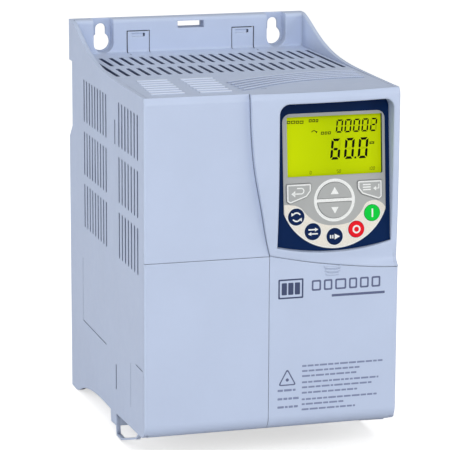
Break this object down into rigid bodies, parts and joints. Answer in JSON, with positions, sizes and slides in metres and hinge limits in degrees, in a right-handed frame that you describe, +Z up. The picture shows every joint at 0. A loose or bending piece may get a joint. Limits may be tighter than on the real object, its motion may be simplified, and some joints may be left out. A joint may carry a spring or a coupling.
{
  "type": "variable frequency drive",
  "caption": "Wall or rail mounted motor drive: vented plastic case, recessed keypad with display and press keys, tilting front covers, lift-out fan cassette.",
  "frame": {"origin": "centre of the four wall-fixing holes, on the back plane that lies against the wall", "axes": "+Z up, +X to the right of someone facing the keypad, +Y into the wall, so the front faces -Y"},
  "size_m": [0.135, 0.1688, 0.21],
  "materials": {
    "housing_plastic": "fine moulded texture",
    "inner_plastic": "fine moulded texture",
    "fan_plastic": "satin",
    "latch_plastic": "satin",
    "bezel_navy": "satin",
    "overlay_film": "printed polyester film",
    "key_grey": "printed",
    "key_navy": "printed",
    "key_red": "printed",
    "key_green": "printed",
    "display_glass": "polariser film",
    "light_guide": "clear",
    "circuit_board": "solder mask",
    "board_parts": "moulded",
    "relay_case": "moulded",
    "choke_core": "enamelled wire",
    "capacitor_sleeve": "shrink sleeve",
    "terminal_plastic": "moulded",
    "header_plastic": "moulded",
    "heatsink_metal": "extruded",
    "brass_metal": "turned",
    "screw_steel": "zinc plated",
    "lead_insulation": "satin"
  },
  "bodies": {
    "drive_body": {"board_link_header": "header_plastic", "board_standoffs": "brass_metal", "control_board": "circuit_board", "control_board_components": "board_parts", "control_board_screws": "screw_steel", "control_terminal_screws": "screw_steel", "control_terminal_strip": "terminal_plastic", "dc_link_capacitors": "capacitor_sleeve", "earth_plate": "screw_steel", "earth_screws": "screw_steel", "filter_choke": "choke_core", "front_housing_screws": "screw_steel", "heatsink": "heatsink_metal", "heatsink_screws": "screw_steel", "inner_frame": "inner_plastic", "inner_frame_screws": "screw_steel", "io_module_board": "circuit_board", "io_module_case": "inner_plastic", "io_module_header": "header_plastic", "key_switches": "screw_steel", "keypad_board": "circuit_board", "keypad_board_screws": "screw_steel", "keypad_fascia": "housing_plastic", "keypad_frame": "bezel_navy", "keypad_overlay": "overlay_film", "lcd_backlight": "light_guide", "lcd_glass": "display_glass", "power_board": "circuit_board", "power_board_screws": "screw_steel", "power_module": "board_parts", "power_module_pins": "brass_metal", "power_module_screws": "screw_steel", "power_terminal_block": "terminal_plastic", "power_terminal_clamps": "screw_steel", "power_terminal_screws": "screw_steel", "precharge_relay": "relay_case", "rear_housing": "housing_plastic", "supply_transformer": "board_parts", "upper_front_housing": "housing_plastic"},
    "left_cover": {"power_terminal_cover": "housing_plastic"},
    "right_cover": {"control_cover": "housing_plastic"},
    "fan_cassette": {"fan_cover": "housing_plastic", "fan_frames": "fan_plastic", "fan_leads": "lead_insulation"},
    "left_rotor": {"fan_rotor_left": "fan_plastic"},
    "right_rotor": {"fan_rotor_right": "fan_plastic"},
    "rail_latch": {"din_rail_latch": "latch_plastic"},
    "body_key_back": {"key_back": "key_grey"},
    "body_key_menu": {"key_menu": "key_grey"},
    "body_key_up": {"key_up": "key_grey"},
    "body_key_down": {"key_down": "key_grey"},
    "body_key_reverse": {"key_reverse": "key_navy"},
    "body_key_local_remote": {"key_local_remote": "key_navy"},
    "body_key_jog": {"key_jog": "key_navy"},
    "body_key_stop": {"key_stop": "key_red"},
    "body_key_run": {"key_run": "key_green"}
  },
  "joints": [
    {"name": "key_back_press", "type": "slide", "parent": "drive_body", "child": "body_key_back", "axis": [0, 0.9962, -0.0872], "range_m": [0, 0.0005]},
    {"name": "key_menu_press", "type": "slide", "parent": "drive_body", "child": "body_key_menu", "axis": [0, 0.9962, -0.0872], "range_m": [0, 0.0005]},
    {"name": "key_up_press", "type": "slide", "parent": "drive_body", "child": "body_key_up", "axis": [0, 0.9962, -0.0872], "range_m": [0, 0.0005]},
    {"name": "key_down_press", "type": "slide", "parent": "drive_body", "child": "body_key_down", "axis": [0, 0.9962, -0.0872], "range_m": [0, 0.0005]},
    {"name": "key_reverse_press", "type": "slide", "parent": "drive_body", "child": "body_key_reverse", "axis": [0, 0.9962, -0.0872], "range_m": [0, 0.0005]},
    {"name": "key_local_remote_press", "type": "slide", "parent": "drive_body", "child": "body_key_local_remote", "axis": [0, 0.9962, -0.0872], "range_m": [0, 0.0005]},
    {"name": "key_jog_press", "type": "slide", "parent": "drive_body", "child": "body_key_jog", "axis": [0, 0.9962, -0.0872], "range_m": [0, 0.0005]},
    {"name": "key_stop_press", "type": "slide", "parent": "drive_body", "child": "body_key_stop", "axis": [0, 0.9962, -0.0872], "range_m": [0, 0.0005]},
    {"name": "key_run_press", "type": "slide", "parent": "drive_body", "child": "body_key_run", "axis": [0, 0.9962, -0.0872], "range_m": [0, 0.0005]},
    {"name": "terminal_cover_tilt", "type": "hinge", "parent": "drive_body", "child": "left_cover", "pos_m": [-0.033, -0.1552, -0.0876], "axis": [1, 0, 0], "range_deg": [0, 70]},
    {"name": "control_cover_tilt", "type": "hinge", "parent": "drive_body", "child": "right_cover", "pos_m": [0.033, -0.1552, -0.0876], "axis": [1, 0, 0], "range_deg": [0, 70]},
    {"name": "fan_cassette_lift", "type": "slide", "parent": "drive_body", "child": "fan_cassette", "axis": [0, 0, 1], "range_m": [0, 0.04]},
    {"name": "left_fan_spin", "type": "hinge", "parent": "fan_cassette", "child": "left_rotor", "pos_m": [-0.0306, -0.059, 0.069], "axis": [0, 0, 1], "continuous": true},
    {"name": "right_fan_spin", "type": "hinge", "parent": "fan_cassette", "child": "right_rotor", "pos_m": [0.0306, -0.059, 0.069], "axis": [0, 0, 1], "continuous": true},
    {"name": "rail_latch_pull", "type": "slide", "parent": "drive_body", "child": "rail_latch", "axis": [0, 0, -1], "range_m": [0, 0.005]}
  ]
}
